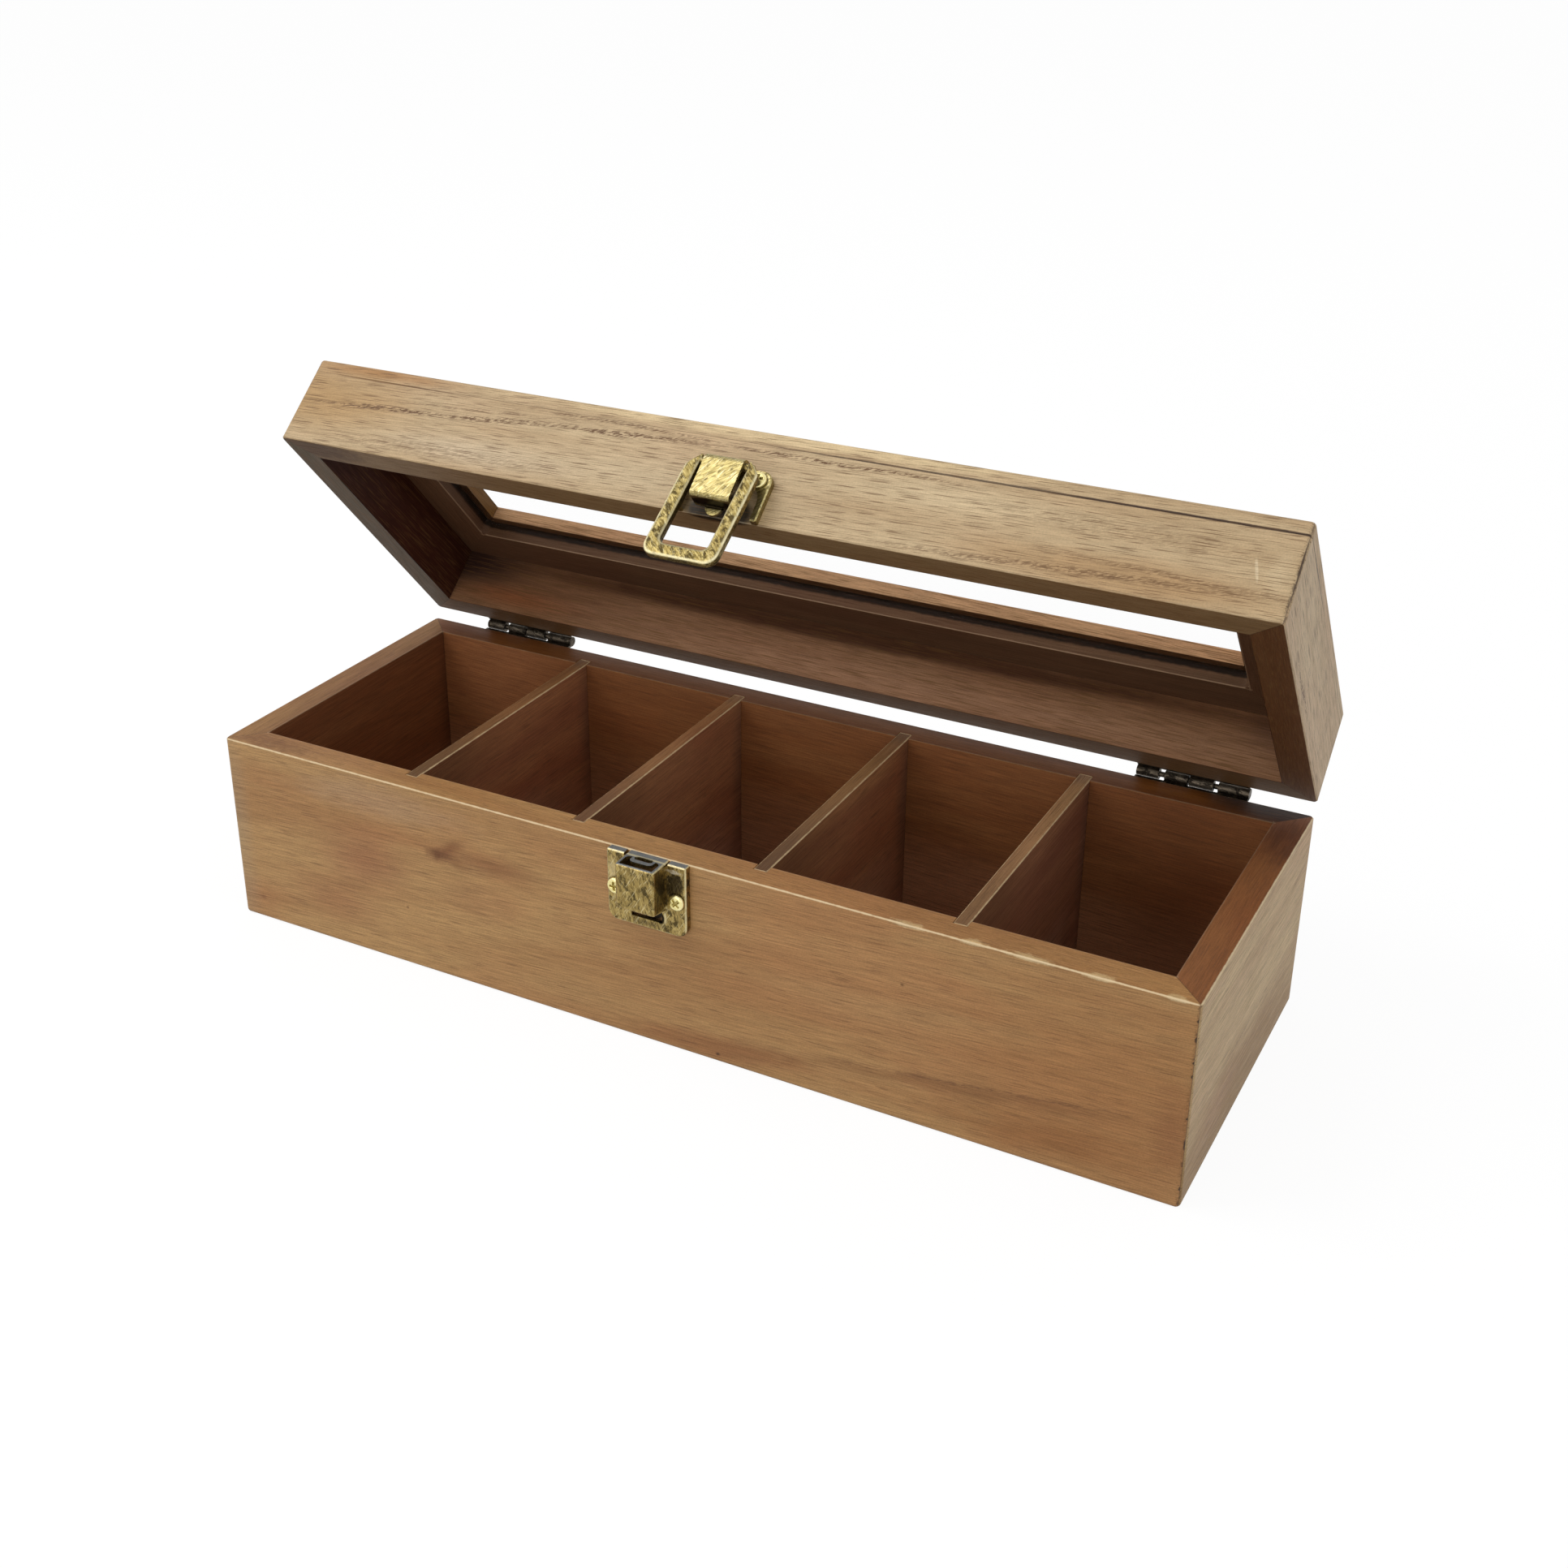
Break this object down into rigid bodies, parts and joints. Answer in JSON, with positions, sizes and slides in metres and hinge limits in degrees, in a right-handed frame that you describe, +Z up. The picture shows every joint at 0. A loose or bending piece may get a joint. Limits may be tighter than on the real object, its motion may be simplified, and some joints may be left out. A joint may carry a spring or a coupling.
{
  "type": "window lid box",
  "caption": "Long wooden box with open compartments, a hinged lid that frames a clear window, and a ring latch on the front; the lid and the ring swing.",
  "frame": {"origin": "centre of the base's flat underside", "axes": "+X along the length to the right seen from the front, front face at -Y, +Z up"},
  "size_m": [0.34, 0.155, 0.1834],
  "materials": {
    "base_wood": "stained, fine dark pores, satin",
    "lid_wood": "stained, fine dark pores, satin",
    "inner_wood": "stained red-brown, matt",
    "pane_glass": "clear, polished",
    "latch_brass": "antique brass, brushed, dark patina in the lows",
    "hinge_bronze": "antique bronze, dull",
    "screw_brass": "pale brass, satin"
  },
  "bodies": {
    "box": {"base_front_board": "base_wood", "base_back_board": "base_wood", "base_left_board": "base_wood", "base_right_board": "base_wood", "base_floor": "inner_wood", "divider_1": "inner_wood", "divider_2": "inner_wood", "divider_3": "inner_wood", "divider_4": "inner_wood", "hinge_base_leaf_left": "hinge_bronze", "hinge_base_leaf_right": "hinge_bronze", "hinge_pin_left": "hinge_bronze", "hinge_pin_right": "hinge_bronze", "hinge_base_screws": "screw_brass", "catch_plate": "latch_brass", "catch_screws": "screw_brass"},
    "lid": {"lid_front_rail": "lid_wood", "lid_back_rail": "lid_wood", "lid_left_rail": "lid_wood", "lid_right_rail": "lid_wood", "lid_top_front_strip": "lid_wood", "lid_top_back_strip": "lid_wood", "lid_top_left_strip": "lid_wood", "lid_top_right_strip": "lid_wood", "lid_backing_front_strip": "inner_wood", "lid_backing_back_strip": "inner_wood", "lid_backing_left_strip": "inner_wood", "lid_backing_right_strip": "inner_wood", "window_pane": "pane_glass", "hinge_lid_leaf_left": "hinge_bronze", "hinge_lid_leaf_right": "hinge_bronze", "hinge_lid_screws": "screw_brass", "latch_plate": "latch_brass", "latch_screws": "screw_brass"},
    "ring": {"latch_ring": "latch_brass"}
  },
  "joints": [
    {"name": "lid_hinge", "type": "hinge", "parent": "box", "child": "lid", "pos_m": [0, 0.0647, 0.06865], "axis": [-1, 0, 0], "range_deg": [-49, 46]},
    {"name": "ring_pivot", "type": "hinge", "parent": "lid", "child": "ring", "pos_m": [-0.0017, -0.01098, 0.17796], "axis": [-1, 0, 0], "range_deg": [-9.5, 191]}
  ]
}
